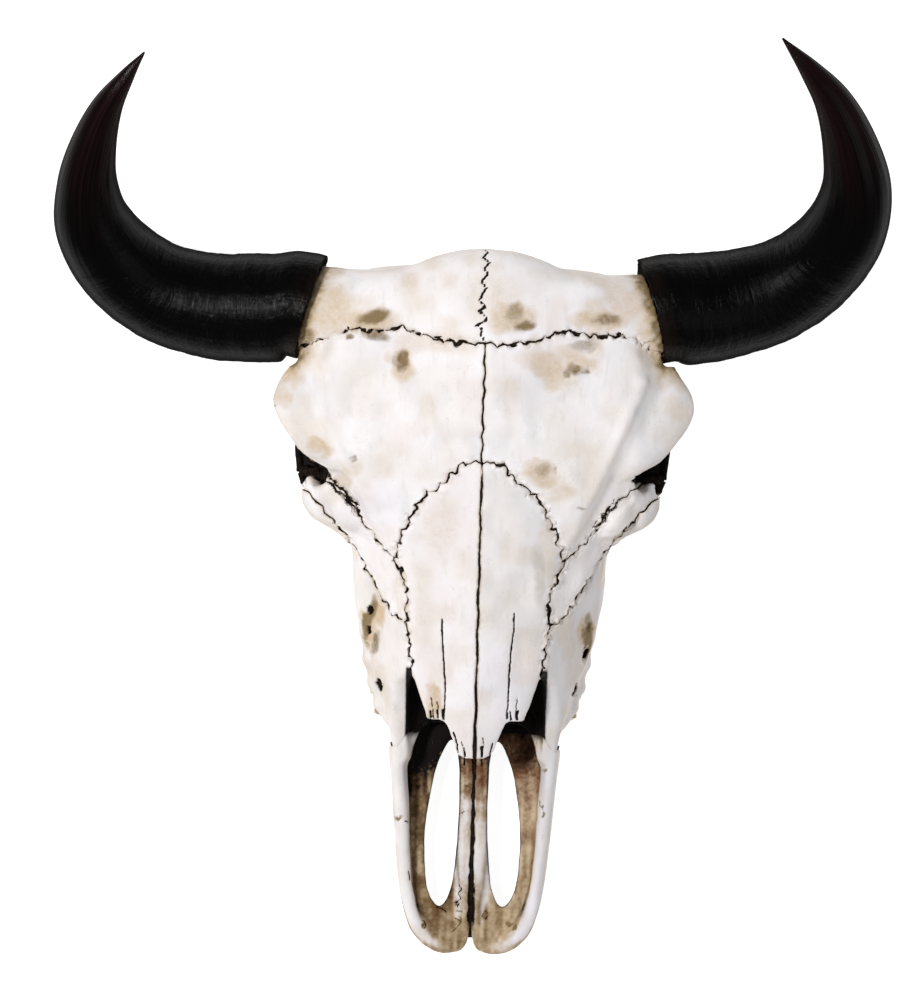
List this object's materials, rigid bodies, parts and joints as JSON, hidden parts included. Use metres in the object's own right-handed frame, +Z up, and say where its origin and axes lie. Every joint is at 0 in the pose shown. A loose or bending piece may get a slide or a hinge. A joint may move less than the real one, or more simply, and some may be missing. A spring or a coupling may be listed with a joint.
{
  "type": "bison skull",
  "caption": "Life-size bison skull with both black horn sheaths and no lower jaw, lying on its cheek teeth and neck processes as a still display piece.",
  "frame": {"origin": "middle of the bounding box's underside, on the surface that the skull lies on", "axes": "+X across the skull towards its anatomical left horn, +Y from the muzzle to the back of the head, +Z up through the forehead"},
  "size_m": [0.639, 0.7144, 0.2821],
  "materials": {
    "bone": "cream-white weathered bone with tan and brown stains, dark seams",
    "horn_black": "near-black horn sheath, satin to glossy, fine cross lines near the base"
  },
  "bodies": {
    "root": {"cranium": "bone", "frontal_left": "bone", "frontal_right": "bone", "nasal_left": "bone", "nasal_right": "bone", "lacrimal_left": "bone", "lacrimal_right": "bone", "zygomatic_left": "bone", "zygomatic_right": "bone", "maxilla_left": "bone", "maxilla_right": "bone", "premaxilla_left": "bone", "premaxilla_right": "bone", "horn_left": "horn_black", "horn_right": "horn_black"}
  },
  "joints": []
}
